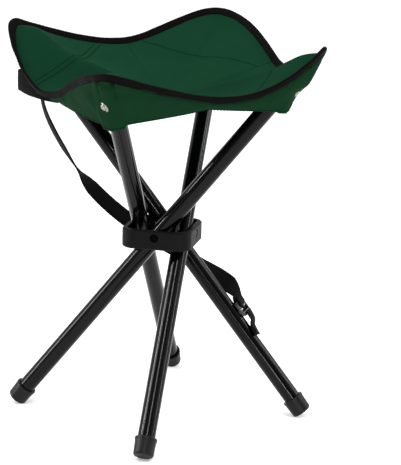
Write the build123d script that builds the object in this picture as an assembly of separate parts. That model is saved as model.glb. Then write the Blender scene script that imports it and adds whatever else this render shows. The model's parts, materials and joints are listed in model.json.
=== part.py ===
from build123d import *
import math
import os

# Four-leg folding stool. Millimetres and degrees, +Z up, the floor is Z = 0 and the hub's axis is Z.
# Each straight leg passes through the moulded hub beside one wall, on a radial rivet through that wall.
# The front leg is pinned to the hub's -Y wall; the right, back and left legs follow by quarter turns.

LEG_NAMES = ("front", "right", "back", "left")
QUARTER = 90.0

# ---- driving dimensions: legs ----
TUBE_OD = 16.0
TUBE_WALL = 1.0
OPEN_LEAN = 38.4          # lean of an open leg from upright
PIVOT_HEIGHT = 176.5
PIVOT_OFFSET = 19.5       # hub axis to the axis of a leg
TUBE_ABOVE = 198.0        # pivot to the tube's upper end
CORNER_ABOVE = 205.0      # pivot to the seat's corner, on the leg's axis past the tube's end
LEG_BELOW = 216.4         # pivot to the tube's lower end
# ---- foot caps ----
CAP_FLOOR = 3.6
CAP_LENGTH = 17.0
CAP_RIM_R = 9.8
CAP_TOE_R = 9.2
CAP_BEAD_R = 10.2
CAP_BEAD_H = 2.2
CAP_EDGE_FILLET = 2.5
# ---- top plugs ----
PLUG_STEM = 9.0
PLUG_HEAD = 4.0
# ---- hub ----
HUB_HALF = 33.0
HUB_WALL = 4.5
HUB_CORNER = 13.0
HUB_HEIGHT = 18.0
HUB_DROP = 2.3            # the hub's middle lies this far below the pivots
HUB_EDGE = 1.2
RECESS_R = 4.0
RECESS_DEPTH = 1.9
# ---- pivot rivets ----
RIVET_R = 2.5
RIVET_HEAD_R = 3.6
RIVET_HEAD_H = 1.5
WASHER_R = 6.0
WASHER_H = 0.7
RUN_CLEARANCE = 0.06      # rivet to the leg's cross hole, radial
# ---- seat ----
SEAT_MIDDLE_Z = 304.0
# Middle of each side as (distance from the hub's axis, height): the cloth hangs lower at the front.
# Each side runs on, counter-clockwise, from the corner of the leg it is named for.
SIDE_MIDDLES = {
    "front": (112.0, 333.5),
    "right": (100.0, 340.0),
    "back": (97.0, 313.0),
    "left": (97.0, 316.5),
}
CLOTH = 2.0
FOLD_GAP = 0.3            # half the gap at a fold line
BINDING_WIDTH = 8.0
BINDING_THICK = 4.0
# ---- corner pockets and their rivets ----
POCKET_BORE_R = 8.2
POCKET_R = 11.0
POCKET_LOW = 158.0        # along the leg, from the pivot
POCKET_SHOULDER = 214.0
POCKET_TIP = 232.0
POCKET_TIP_R = 4.0
POCKET_CLEAR_R = 12.0
CORNER_RIVET_AT = 185.0
CORNER_RIVET_TURN = 25.0  # about the leg, from its outer side towards the wall it is pinned to
CORNER_RIVET_R = 2.0
CORNER_HEAD_R = 4.2
CORNER_HEAD_H = 2.0
CORNER_TAIL_R = 3.0
# ---- straps ----
STRAP_WIDTH = 20.0
STRAP_THICK = 1.6
SLIDER_WIDTH = 27.0
SLIDER_LENGTH = 15.0
SLIDER_THICK = 2.6
SLIDER_BAR = 2.6
CLOSURE_LENGTH = 78.0
CLOSURE_WIDTH = 20.0
CLOSURE_AT = (107.0, -62.0, 306.0)  # out from the hub's axis, along the side from its middle, height
STUD_R = 4.0
STUD_H = 2.4
STUD_FROM_END = 68.0
ANCHOR_AT = -122.0        # along the back leg, from the pivot
ANCHOR_LENGTH = 22.0
ANCHOR_WIDTH = 14.0
ANCHOR_THICK = 2.0

# The carry strap's route: from the rivet at the back leg's corner, down behind the hub, to the anchor
# on the same leg's lower half.
STRAP_ROUTE = [
    (-127.5, 29.0, 309.0),
    (-130.5, 35.5, 293.0),
    (-128.0, 40.0, 275.0),
    (-120.0, 42.5, 256.5),
    (-109.0, 43.5, 238.0),
    (-94.5, 44.0, 217.0),
    (-76.5, 44.5, 197.0),
    (-54.0, 45.5, 178.5),
    (-28.5, 46.5, 162.0),
    (-1.0, 46.5, 147.5),
    (25.0, 45.5, 136.5),
    (48.0, 42.5, 125.5),
    (65.0, 37.5, 112.0),
    (75.0, 31.5, 97.5),
]

lean = math.radians(OPEN_LEAN)
leg_axis = Vector(math.sin(lean), 0, math.cos(lean))
leg_outer = Vector(math.cos(lean), 0, -math.sin(lean))
front_pivot = Vector(0, -PIVOT_OFFSET, PIVOT_HEIGHT)
# Local frame of the front leg: z up the tube, x towards its outer, lower side, y towards the hub's axis.
LEG_PLANE = Plane(origin=front_pivot, x_dir=leg_outer, z_dir=leg_axis)


def about_hub(shape, quarter_turns):
    """The same piece, turned to another wall of the hub."""
    return Rot(0, 0, QUARTER * quarter_turns) * shape


def along(start, end, radius):
    """A cylinder on the local Z axis from one height to another."""
    return Pos(0, 0, start) * Cylinder(radius, end - start, align=(Align.CENTER, Align.CENTER, Align.MIN))


def revolved(points):
    """A solid turned about Z from an outline of (radius, height) points."""
    outline = make_face(Polyline(*[(r, 0, z) for r, z in points], close=True))
    return revolve(outline, Axis.Z)


def write(name, shape):
    """One node is one STEP file."""
    shape.label = name
    export_step(shape, os.path.join("parts", name + ".step"))


def corner_rivet_plane():
    """Where the corner rivet crosses the leg: z points out of the leg along the rivet."""
    turn = math.radians(CORNER_RIVET_TURN)
    out = (math.cos(turn), -math.sin(turn), 0)
    return Plane(origin=(0, 0, CORNER_RIVET_AT), x_dir=(0, 0, 1), z_dir=out)


# ---- one leg and what is fixed to it, in the leg's local frame ----
def leg_tube():
    tube_r = TUBE_OD / 2
    tube = along(-LEG_BELOW, TUBE_ABOVE, tube_r) - along(-LEG_BELOW, TUBE_ABOVE, tube_r - TUBE_WALL)
    pivot_hole = Rot(90, 0, 0) * Cylinder(RIVET_R + RUN_CLEARANCE, 2 * TUBE_OD)
    rivet_hole = corner_rivet_plane() * along(0, TUBE_OD, CORNER_RIVET_R)
    return tube - pivot_hole - rivet_hole


def foot_cap():
    toe = -LEG_BELOW - CAP_FLOOR
    rim = toe + CAP_LENGTH
    body = revolved([
        (0, toe),
        (CAP_TOE_R, toe),
        (CAP_RIM_R, rim - CAP_BEAD_H),
        (CAP_BEAD_R, rim - CAP_BEAD_H),
        (CAP_BEAD_R, rim),
        (0, rim),
    ])
    toe_edge = body.edges().group_by(Axis.Z)[0]
    body = fillet(toe_edge, CAP_EDGE_FILLET)
    bead_edges = body.edges().group_by(Axis.Z)[-1]
    body = fillet(bead_edges, CAP_BEAD_H / 4)
    return body - along(-LEG_BELOW, rim + 1, TUBE_OD / 2)


def top_plug():
    bore_r = TUBE_OD / 2 - TUBE_WALL
    stem = along(TUBE_ABOVE - PLUG_STEM, TUBE_ABOVE, bore_r)
    head = along(TUBE_ABOVE, TUBE_ABOVE + PLUG_HEAD, TUBE_OD / 2)
    head = fillet(head.edges().group_by(Axis.Z)[-1], PLUG_HEAD * 0.8)
    return stem + head


def corner_pocket():
    """Sewn sleeve over the leg's end, with the seat corner's tip past it."""
    sleeve = revolved([
        (POCKET_BORE_R, POCKET_LOW),
        (POCKET_R, POCKET_LOW),
        (POCKET_R, POCKET_SHOULDER),
        (POCKET_TIP_R, POCKET_TIP),
        (0, POCKET_TIP),
        (0, TUBE_ABOVE + PLUG_HEAD + 0.5),
        (POCKET_BORE_R, TUBE_ABOVE + PLUG_HEAD + 0.5),
    ])
    return sleeve - corner_rivet_plane() * along(0, TUBE_OD, CORNER_RIVET_R)


def corner_rivet():
    bore_r = TUBE_OD / 2 - TUBE_WALL
    tail_out = math.sqrt(bore_r**2 - CORNER_TAIL_R**2) - 0.1
    tail = along(tail_out - 1.2, tail_out, CORNER_TAIL_R)
    shank = along(tail_out, POCKET_R, CORNER_RIVET_R)
    head = along(POCKET_R, POCKET_R + CORNER_HEAD_H, CORNER_HEAD_R)
    head = fillet(head.edges().group_by(Axis.Z)[-1], CORNER_HEAD_H * 0.75)
    return corner_rivet_plane() * (tail + shank + head)


# ---- hub ----
def rounded_block(half, corner, height):
    outline = RectangleRounded(2 * half, 2 * half, corner)
    return Pos(0, 0, -height / 2) * extrude(outline, height)


def hub_ring():
    inner_corner = HUB_CORNER - HUB_WALL
    ring = rounded_block(HUB_HALF, HUB_CORNER, HUB_HEIGHT)
    ring = chamfer(ring.edges().group_by(Axis.Z)[0] + ring.edges().group_by(Axis.Z)[-1], HUB_EDGE)
    ring = ring - rounded_block(HUB_HALF - HUB_WALL, inner_corner, HUB_HEIGHT + 2)
    ring = Pos(0, 0, PIVOT_HEIGHT - HUB_DROP) * ring
    for quarter in range(4):
        ring = ring - about_hub(pivot_hole_and_recess(), quarter)
    return ring


def wall_plane():
    """On the outer face of the hub's front wall, z pointing out."""
    return Plane(origin=(0, -HUB_HALF, PIVOT_HEIGHT), x_dir=(1, 0, 0), z_dir=(0, -1, 0))


def pivot_hole_and_recess():
    hole = along(-HUB_WALL - 1, 0, RIVET_R)
    recess = along(-RECESS_DEPTH, 1, RECESS_R)
    return wall_plane() * (hole + recess)


def pivot_rivet():
    """Head in the wall's recess, shank through wall and leg, tail peened over inside the leg's far wall."""
    leg_far_side = -(HUB_HALF - PIVOT_OFFSET) - TUBE_OD / 2
    head = along(-RECESS_DEPTH, -RECESS_DEPTH + RIVET_HEAD_H, RIVET_HEAD_R)
    head = fillet(head.edges().group_by(Axis.Z)[-1], RIVET_HEAD_H * 0.6)
    shank = along(leg_far_side - 0.6, -RECESS_DEPTH, RIVET_R)
    tail = along(leg_far_side - 2.0, leg_far_side - 0.6, RIVET_HEAD_R)
    return wall_plane() * (head + shank + tail)


def pivot_washer():
    wall_inside = -HUB_WALL
    washer = along(wall_inside - WASHER_H, wall_inside, WASHER_R)
    return wall_plane() * (washer - along(wall_inside - WASHER_H - 1, wall_inside + 1, RIVET_R))


# ---- seat ----
def corner_point():
    """The seat's corner at the front leg, on that leg's axis."""
    return front_pivot + leg_axis * CORNER_ABOVE


def side_direction(quarter_turns):
    """Bearing of a side's middle from the hub's axis, in degrees."""
    corner = corner_point()
    return math.degrees(math.atan2(corner.Y, corner.X)) + QUARTER / 2 + QUARTER * quarter_turns


def middle_beside_front_leg(quarter, turn):
    """The side middle on one side of a leg's corner, in the frame of the front leg."""
    side = quarter if turn == "ccw" else quarter - 1
    distance, height = SIDE_MIDDLES[LEG_NAMES[side % 4]]
    bearing = math.radians(side_direction(0 if turn == "ccw" else -1))
    return Vector(distance * math.cos(bearing), distance * math.sin(bearing), height)


def slab(points, thickness):
    """A flat plate on a polygon in space, half its thickness on each side."""
    face = make_face(Polyline(*points, close=True)).face()
    normal = face.normal_at()
    half = normal * (thickness / 2)
    return Pos(-half.X, -half.Y, -half.Z) * extrude(face, amount=thickness, dir=normal)


def sector(corner, middle):
    """The upright wedge between a corner's and a side middle's directions, short of both by the gap."""
    reach = 3
    wedge = make_face(Polyline(
        (0, 0, 0),
        (reach * corner.X, reach * corner.Y, 0),
        (reach * middle.X, reach * middle.Y, 0),
        close=True,
    ))
    wedge = offset(wedge, -FOLD_GAP, kind=Kind.INTERSECTION)
    return extrude(wedge, amount=2 * PIVOT_HEIGHT + CORNER_ABOVE, dir=(0, 0, 1))


def leg_clearance():
    return LEG_PLANE * along(POCKET_LOW - 20, POCKET_TIP + 20, POCKET_CLEAR_R)


def seat_panel(corner, middle):
    """Half of one side's quarter of the seat cloth, between two fold lines."""
    centre = Vector(0, 0, SEAT_MIDDLE_Z)
    return slab([centre, corner, middle], CLOTH) & sector(corner, middle) - leg_clearance()


def edge_binding(corner, middle):
    """The bound edge of that half side."""
    centre = Vector(0, 0, SEAT_MIDDLE_Z)
    run = (middle - corner).normalized()
    normal = (corner - centre).cross(middle - centre).normalized()
    outward = run.cross(normal)
    if outward.dot(corner - centre) < 0:
        outward = outward * -1
    inner = [corner - run * 2 * BINDING_WIDTH, middle + run * 2 * BINDING_WIDTH]
    outer = [point + outward * BINDING_WIDTH for point in reversed(inner)]
    return slab(inner + outer, BINDING_THICK) & sector(corner, middle) - leg_clearance()


# ---- straps ----
def closure_plane():
    """On the closure strap's middle, on the back leg's side of the seat, z pointing out of the seat."""
    out, along_side, height = CLOSURE_AT
    bearing = math.radians(side_direction(LEG_NAMES.index("back")))
    outward = Vector(math.cos(bearing), math.sin(bearing), 0)
    side_run = Vector(-outward.Y, outward.X, 0)
    origin = outward * out + side_run * along_side + Vector(0, 0, height)
    return Plane(origin=origin, x_dir=side_run, z_dir=outward)


def closure_strap():
    """Short webbing band under the seat's edge that buckles round the folded seat."""
    band = Box(CLOSURE_LENGTH, CLOSURE_WIDTH, STRAP_THICK)
    return closure_plane() * fillet(band.edges().filter_by(Axis.Z), 2.0)


def closure_stud():
    """Press stud on the band's inner face."""
    stud = along(0, STUD_H, STUD_R)
    stud = fillet(stud.edges().group_by(Axis.Z)[-1], STUD_H * 0.6)
    from_middle = CLOSURE_LENGTH / 2 - STUD_FROM_END
    return closure_plane() * Pos(from_middle, 0, -STRAP_THICK / 2) * Rot(180, 0, 0) * stud


def carry_strap():
    route = [Vector(*point) for point in STRAP_ROUTE]
    radii = []
    for before, here, after in zip(route, route[1:], route[2:]):
        turn = math.radians((here - before).get_angle(after - here))
        shorter = min((here - before).length, (after - here).length)
        radii.append(0.45 * shorter / math.tan(turn / 2))
    print("carry strap radii", [round(r) for r in radii])
    path = FilletPolyline(*route, radius=radii)
    first_run = (route[1] - route[0]).normalized()
    across = first_run.cross(Vector(0, 1, 0)).normalized()
    section = Plane(origin=route[0], x_dir=across, z_dir=first_run) * Rectangle(STRAP_WIDTH, STRAP_THICK)
    strap = sweep(section, path=path)
    print("carry strap length", round(path.length, 1), "volume", round(strap.volume),
          "section times length", round(path.length * STRAP_WIDTH * STRAP_THICK))
    return strap


def strap_end_plane():
    """At the strap's lower end, x across the webbing and z along it."""
    last = Vector(*STRAP_ROUTE[-1])
    run = (last - Vector(*STRAP_ROUTE[-2])).normalized()
    across = run.cross(Vector(0, 1, 0)).normalized()
    return Plane(origin=last, x_dir=across, z_dir=run)


def strap_slider():
    """Three-bar slide: a flat frame with two slots for the webbing."""
    frame = Box(SLIDER_WIDTH, SLIDER_THICK, SLIDER_LENGTH)
    frame = fillet(frame.edges().filter_by(Axis.Y), 2.0)
    slot_length = (SLIDER_LENGTH - 3 * SLIDER_BAR) / 2
    slot_at = (SLIDER_BAR + slot_length) / 2
    for side in (1, -1):
        frame = frame - Pos(0, 0, side * slot_at) * Box(STRAP_WIDTH + 0.8, 2 * SLIDER_THICK, slot_length)
    return strap_end_plane() * Pos(0, 0, -SLIDER_LENGTH / 2) * frame


def strap_anchor():
    """Curved saddle on the leg's upper side that the webbing is made fast to, in the leg's local frame."""
    tube_r = TUBE_OD / 2
    band = along(ANCHOR_AT - ANCHOR_LENGTH / 2, ANCHOR_AT + ANCHOR_LENGTH / 2, tube_r + ANCHOR_THICK)
    band = band - along(ANCHOR_AT - ANCHOR_LENGTH, ANCHOR_AT + ANCHOR_LENGTH, tube_r)
    upper_side = Pos(-tube_r, 0, ANCHOR_AT) * Box(2 * tube_r, ANCHOR_WIDTH, ANCHOR_LENGTH)
    return band & upper_side


os.makedirs("parts", exist_ok=True)

write("hub_ring", hub_ring())
write("pivot_rivets", Compound(children=[about_hub(pivot_rivet(), q) for q in range(4)]))
write("pivot_washers", Compound(children=[about_hub(pivot_washer(), q) for q in range(4)]))

floor_cut = Pos(0, 0, -PIVOT_HEIGHT) * Box(1000, 1000, 2 * PIVOT_HEIGHT)
for quarter, leg in enumerate(LEG_NAMES):
    for piece, make in (
        ("tube", leg_tube),
        ("plug", top_plug),
        ("pocket", corner_pocket),
        ("corner_rivet", corner_rivet),
    ):
        write(f"{leg}_{piece}", about_hub(LEG_PLANE * make(), quarter))
    write(f"{leg}_cap", about_hub(LEG_PLANE * foot_cap() - floor_cut, quarter))
    for turn in ("ccw", "cw"):
        middle = middle_beside_front_leg(quarter, turn)
        write(f"{leg}_panel_{turn}", about_hub(seat_panel(corner_point(), middle), quarter))
        write(f"{leg}_binding_{turn}", about_hub(edge_binding(corner_point(), middle), quarter))

back = LEG_NAMES.index("back")
write("closure_strap", closure_strap())
write("closure_stud", closure_stud())
write("carry_strap", carry_strap())
write("strap_slider", strap_slider())
write("strap_anchor", about_hub(LEG_PLANE * strap_anchor(), back))
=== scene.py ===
import json
import math

import bmesh
import bpy
import numpy as np
from mathutils import Matrix, Vector, noise


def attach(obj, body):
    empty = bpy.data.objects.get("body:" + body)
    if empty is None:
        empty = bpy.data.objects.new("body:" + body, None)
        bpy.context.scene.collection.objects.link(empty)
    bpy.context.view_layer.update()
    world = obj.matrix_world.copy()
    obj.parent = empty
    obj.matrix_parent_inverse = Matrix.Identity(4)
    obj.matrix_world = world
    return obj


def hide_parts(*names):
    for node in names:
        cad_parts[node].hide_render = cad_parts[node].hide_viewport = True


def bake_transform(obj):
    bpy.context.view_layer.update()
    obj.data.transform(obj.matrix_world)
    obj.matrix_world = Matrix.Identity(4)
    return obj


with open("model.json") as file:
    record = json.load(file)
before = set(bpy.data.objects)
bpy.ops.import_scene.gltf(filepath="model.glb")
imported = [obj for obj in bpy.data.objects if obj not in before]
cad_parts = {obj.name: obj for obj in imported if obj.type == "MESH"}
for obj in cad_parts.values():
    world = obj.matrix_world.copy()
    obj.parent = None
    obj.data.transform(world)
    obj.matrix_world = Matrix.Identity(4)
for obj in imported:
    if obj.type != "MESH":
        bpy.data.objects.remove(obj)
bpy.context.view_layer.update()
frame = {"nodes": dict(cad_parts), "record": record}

scene = bpy.context.scene
MM = 0.001
UP = np.array([0.0, 0.0, 1.0])


def add_object(name, data):
    made = bpy.data.objects.new(name, data)
    scene.collection.objects.link(made)
    return made


# ---- camera: standing in front of the stool, a little to its right, looking slightly down ----
CAMERA_AT = (0.369285, -1.537295, 0.565947)
CAMERA_RIGHT = (0.975699, 0.217616, 0.025583)
CAMERA_UP = (-0.076468, 0.228764, 0.970474)
CAMERA_LENS, CAMERA_SENSOR = 156.0, 36.0      # mm
camera_data = bpy.data.cameras.new("camera")
camera_data.sensor_fit = "HORIZONTAL"
camera_data.sensor_width = CAMERA_SENSOR
camera_data.lens = CAMERA_LENS
camera_data.clip_end = 20.0
camera = add_object("camera", camera_data)
right, up = Vector(CAMERA_RIGHT), Vector(CAMERA_UP)
camera_axes = Matrix((right, up, right.cross(up))).transposed()
camera.matrix_world = Matrix.Translation(CAMERA_AT) @ camera_axes.to_4x4()
scene.camera = camera

# ---- the legs' layout, repeated from the record ----
LEGS = ("front", "right", "back", "left")
joint_at = {j["child"]: Vector(j["pos_m"]) for j in frame["record"]["behaviour"]["joints"]}
PIVOT_HEIGHT = joint_at["front_leg"].z
LEAN = math.radians(38.4)      # of every leg, from upright
CORNER_BEARING = -8.2          # degrees, of the front leg's corner; the others are quarter turns from it
SEAT_MIDDLE = np.array([0, 0, 304 * MM])


def leg_frame(leg):
    """Pivot, direction up the leg, direction to its outer side, direction towards the hub's axis."""
    turn = math.radians(-90 + 90 * LEGS.index(leg))
    wall = np.array([math.cos(turn), math.sin(turn), 0])
    round_hub = np.cross(UP, wall)
    axis = round_hub * math.sin(LEAN) + UP * math.cos(LEAN)
    outer = round_hub * math.cos(LEAN) - UP * math.sin(LEAN)
    return np.array(joint_at[leg + "_leg"]), axis, outer, -wall


def on_leg(leg, along, outer_side=0.0, inner_side=0.0):
    """A point by a leg: along it from the pivot, towards its outer side and the hub's axis, in mm."""
    pivot, axis, outer, inward = leg_frame(leg)
    return pivot + (axis * along + outer * outer_side + inward * inner_side) * MM


def beside_leg(points, leg):
    """The reverse of on_leg: along the leg, towards its outer side and towards the hub's axis, in mm."""
    pivot, axis, outer, inward = leg_frame(leg)
    local = (points - pivot) / MM
    return local @ axis, local @ outer, local @ inward


def unit(v):
    v = np.asarray(v, float)
    return v / np.linalg.norm(v)


def units(rows):
    return rows / np.linalg.norm(rows, axis=-1)[..., None]


def smooth(x):
    x = np.clip(x, 0, 1)
    return x * x * (3 - 2 * x)


def rounded(x, power):
    """Turns the cosine or sine of a circle into that of a rounded rectangle."""
    return np.sign(x) * abs(x) ** power


def soft_max(a, b, soft):
    """The larger of two values, rounded off where one takes over from the other."""
    return (a + b + np.sqrt((a - b) ** 2 + soft)) / 2


# ---- materials ----
GAP_AND_REFLECTION_DARK = 0.45      # how dark gaps between threads are, and the painted dark reflections in patches of metal, as a share of the colour


def new_material(name, colour, roughness, **sockets):
    """A Principled material; extra sockets by name with underscores for spaces."""
    material = bpy.data.materials.new(name)
    material.use_nodes = True
    shader = material.node_tree.nodes["Principled BSDF"]
    shader.inputs["Base Color"].default_value = (*colour, 1)
    shader.inputs["Roughness"].default_value = roughness
    for key, value in sockets.items():
        shader.inputs[key.replace("_", " ")].default_value = value
    return material, material.node_tree, shader


def node(tree, kind, inputs=None, **settings):
    made = tree.nodes.new(kind)
    for key, value in settings.items():
        setattr(made, key, value)
    for key, value in (inputs or {}).items():
        if isinstance(value, bpy.types.NodeSocket):
            tree.links.new(value, made.inputs[key])
        else:
            made.inputs[key].default_value = value
    return made


def maths(tree, operation, a, b=0.0, c=0.0):
    return node(tree, "ShaderNodeMath", {0: a, 1: b, 2: c}, operation=operation).outputs[0]


def weighted_sum(tree, *parts):
    """Sum of (output, weight) pairs."""
    terms = [maths(tree, "MULTIPLY", value, weight) for value, weight in parts]
    total = terms[0]
    for term in terms[1:]:
        total = maths(tree, "ADD", total, term)
    return total


def coordinates(tree, kind):
    return node(tree, "ShaderNodeTexCoord").outputs[kind]


def mapped(tree, factor, low, high):
    return node(tree, "ShaderNodeMapRange", {"Value": factor, "From Min": 0.0, "From Max": 1.0,
                                             "To Min": low, "To Max": high}).outputs[0]


def mix_colours(tree, factor, a, b):
    a, b = ((*c, 1) if isinstance(c, tuple) else c for c in (a, b))
    return node(tree, "ShaderNodeMix", {0: factor, 6: a, 7: b}, data_type="RGBA").outputs[2]


def noise_of(tree, vector, scale, detail=3.0, rough=0.5):
    return node(tree, "ShaderNodeTexNoise", {"Vector": vector, "Scale": scale, "Detail": detail,
                                             "Roughness": rough}).outputs["Fac"]


def bump(tree, shader, height, distance, strength=1.0, under=None):
    inputs = {"Height": height, "Distance": distance, "Strength": strength}
    if under is not None:
        inputs["Normal"] = under
    made = node(tree, "ShaderNodeBump", inputs)
    tree.links.new(made.outputs[0], shader.inputs["Normal"])
    return made.outputs[0]


def cloth_material(name, dark, light, pitch):
    """Plain weave: two sets of threads that pass over and under each other, on the cloth's own lengthwise UVs."""
    material, tree, shader = new_material(name, dark, 0.78, Sheen_Weight=0.01, Sheen_Roughness=0.4,
                                          Specular_IOR_Level=0.02)
    shader.inputs["Sheen Tint"].default_value = (0.2, 0.8, 0.4, 1)
    uv, place = coordinates(tree, "UV"), coordinates(tree, "Object")
    parts = node(tree, "ShaderNodeSeparateXYZ", {0: uv})
    turns = 2 * math.pi / pitch
    warp, weft = (maths(tree, "SINE", maths(tree, "MULTIPLY", parts.outputs[k], turns)) for k in (0, 1))
    weave = maths(tree, "MULTIPLY_ADD", maths(tree, "MULTIPLY", warp, weft), 0.5, 0.5)
    threads = maths(tree, "MAXIMUM", maths(tree, "ABSOLUTE", warp), maths(tree, "ABSOLUTE", weft))
    broad = noise_of(tree, place, 14.0, 4.0)
    fine = noise_of(tree, place, 160.0, 3.0, 0.6)
    drawn_out = node(tree, "ShaderNodeMapping", {"Vector": uv, "Scale": (60.0, 900.0, 1.0)}).outputs[0]
    slub = noise_of(tree, drawn_out, 1.0, 2.0)
    tone = weighted_sum(tree, (broad, 0.55), (fine, 0.25), (slub, 0.2))
    colour = mix_colours(tree, mapped(tree, tone, -0.25, 1.25), dark, light)
    gaps = tuple(c * GAP_AND_REFLECTION_DARK for c in dark)
    shade = mix_colours(tree, mapped(tree, threads, 0.35, 0.0), colour, gaps)
    tree.links.new(shade, shader.inputs["Base Color"])
    tree.links.new(mapped(tree, fine, 0.68, 0.88), shader.inputs["Roughness"])
    first = bump(tree, shader, weave, 0.12 * MM, 0.5)
    bump(tree, shader, broad, 0.7 * MM, 0.35, first)
    return material


HERRINGBONE_ROW = 3.2 * MM


def tape_material(name, dark, light, rib, herringbone=False):
    """Woven tape: ribs across its length, or a herringbone of slanting ribs, on UVs that run along it."""
    material, tree, shader = new_material(name, dark, 0.7, Sheen_Weight=0.01, Sheen_Roughness=0.4,
                                          Specular_IOR_Level=0.03)
    uv, place = coordinates(tree, "UV"), coordinates(tree, "Object")
    parts = node(tree, "ShaderNodeSeparateXYZ", {0: uv})
    along, across = parts.outputs[0], parts.outputs[1]
    if herringbone:
        along = maths(tree, "ADD", along, maths(tree, "PINGPONG", across, HERRINGBONE_ROW))
    ribs = maths(tree, "SINE", maths(tree, "MULTIPLY", along, 2 * math.pi / rib))
    ends = maths(tree, "SINE", maths(tree, "MULTIPLY", across, 2 * math.pi / (rib * 0.8)))
    relief = maths(tree, "MULTIPLY_ADD", ribs, 0.35, maths(tree, "MULTIPLY_ADD", ends, 0.15, 0.5))
    fluff = noise_of(tree, place, 420.0, 3.0, 0.7)
    worn = noise_of(tree, place, 35.0, 3.0)
    tone = weighted_sum(tree, (relief, 0.5), (worn, 0.5))
    tree.links.new(mix_colours(tree, tone, dark, light), shader.inputs["Base Color"])
    tree.links.new(mapped(tree, fluff, 0.6, 0.85), shader.inputs["Roughness"])
    first = bump(tree, shader, relief, 0.18 * MM, 0.7)
    bump(tree, shader, fluff, 0.1 * MM, 0.4, first)
    return material


def coated_material(name, dark, light, roughness, grain, depth, level=0.5, spread=0.08):
    """Paint, plastic or rubber: a fine skin, faint cloudiness and small scuffs."""
    material, tree, shader = new_material(name, dark, roughness, Specular_IOR_Level=level)
    place = coordinates(tree, "Object")
    skin = noise_of(tree, place, grain, 2.0, 0.5)
    cloud = noise_of(tree, place, 25.0, 4.0)
    stretched = node(tree, "ShaderNodeMapping", {"Vector": place, "Scale": (500.0, 500.0, 40.0)}).outputs[0]
    scuffs = node(tree, "ShaderNodeMapRange", {"Value": noise_of(tree, stretched, 1.0, 2.0, 0.6),
                                               "From Min": 0.66, "From Max": 0.8}).outputs[0]
    tone = weighted_sum(tree, (cloud, 0.7), (scuffs, 0.5))
    tree.links.new(mix_colours(tree, tone, dark, light), shader.inputs["Base Color"])
    rough = maths(tree, "ADD", mapped(tree, cloud, roughness - spread / 2, roughness + spread / 2),
                  maths(tree, "MULTIPLY", scuffs, spread))
    tree.links.new(rough, shader.inputs["Roughness"])
    bump(tree, shader, skin, depth, 0.5)
    return material


def metal_material(name, colour, roughness):
    material, tree, shader = new_material(name, colour, roughness, Metallic=1.0)
    place = coordinates(tree, "Object")
    # This noise darkens patches of the metal's colour as painted dark reflections of darker surroundings; in
    # roughness and bump it is real wear.
    wear_and_dark_reflection = noise_of(tree, place, 700.0, 3.0, 0.6)
    painted_dark_reflection = tuple(c * GAP_AND_REFLECTION_DARK for c in colour)
    tree.links.new(mix_colours(tree, wear_and_dark_reflection, painted_dark_reflection, colour), shader.inputs["Base Color"])
    tree.links.new(mapped(tree, wear_and_dark_reflection, roughness - 0.05, roughness + 0.12), shader.inputs["Roughness"])
    bump(tree, shader, wear_and_dark_reflection, 0.03 * MM, 0.4)
    return material


WEAVE = 1.1 * MM
TOP_CLOTH = cloth_material("seat cloth", (0.0030, 0.0292, 0.0128), (0.0050, 0.0415, 0.0190), WEAVE)
# The pocket cloth is made darker than the seat cloth as painted shade, because the pocket's sides get less light
# from above than the seat.
POCKET_CLOTH_SHADED = cloth_material("pocket cloth with painted shade", (0.0034, 0.024, 0.009), (0.0056, 0.034, 0.0132), WEAVE)
# The thread's own green, made darker than the cloth as painted shade along the stitched seams and hem.
THREAD = coated_material("green thread", (0.0012, 0.010, 0.0045), (0.002, 0.014, 0.0065), 0.7,
                         2500.0, 0.05 * MM, level=0.02)
DARK_THREAD = coated_material("black thread", (0.002, 0.0017, 0.0016), (0.005, 0.0045, 0.004), 0.7,
                              2500.0, 0.05 * MM, level=0.02)
BINDING = tape_material("edge tape", (0.0014, 0.001, 0.001), (0.0045, 0.0034, 0.0032), 1.0 * MM)
WEBBING = tape_material("webbing", (0.0012, 0.0012, 0.0014), (0.005, 0.005, 0.0053), 1.5 * MM,
                        herringbone=True)
GREY_WEBBING = tape_material("closure webbing", (0.0022, 0.0022, 0.0022), (0.0085, 0.0082, 0.0082),
                             1.5 * MM, herringbone=True)
TUBE_PAINT = coated_material("black paint", (0.0008, 0.0008, 0.0009), (0.002, 0.002, 0.0022), 0.13,
                             700.0, 0.01 * MM, level=0.14, spread=0.04)
HUB_PLASTIC = coated_material("moulded plastic", (0.0035, 0.0035, 0.0037), (0.0065, 0.0065, 0.0068),
                              0.5, 1500.0, 0.05 * MM, level=0.06)
CAP_RUBBER = coated_material("cap rubber", (0.004, 0.004, 0.004), (0.008, 0.008, 0.008), 0.4,
                             1200.0, 0.06 * MM, level=0.15)
NICKEL = metal_material("nickel", (0.36, 0.34, 0.3), 0.26)
DARK_STEEL = metal_material("blackened steel", (0.012, 0.012, 0.013), 0.4)
PIVOT_STEEL = metal_material("pivot steel", (0.0025, 0.0025, 0.0027), 0.5)
SLIDER_PLASTIC = coated_material("slide plastic", (0.008, 0.008, 0.0085), (0.02, 0.02, 0.021), 0.22,
                                 1500.0, 0.03 * MM)


# ---- mesh helpers ----
def grid_piece(name, points, uvs, material, closed=False, flip=False):
    """A mesh from rows of points. closed joins each row's ends, and then each row of uvs is one longer."""
    points, uvs = np.asarray(points, float), np.asarray(uvs, float)
    rows, columns = points.shape[:2]
    faces, corners = [], []
    last = columns if closed else columns - 1
    for i in range(rows - 1):
        for j in range(last):
            k = (j + 1) % columns
            quad = [(i, j), (i + 1, j), (i + 1, k), (i, k)]
            if flip:
                quad.reverse()
            faces.append([a * columns + b for a, b in quad])
            wrap = closed and k == 0
            corners.append([uvs[a, columns] if wrap and b == 0 else uvs[a, b] for a, b in quad])
    return make_piece(name, points.reshape(-1, 3), faces, corners, material)


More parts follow.
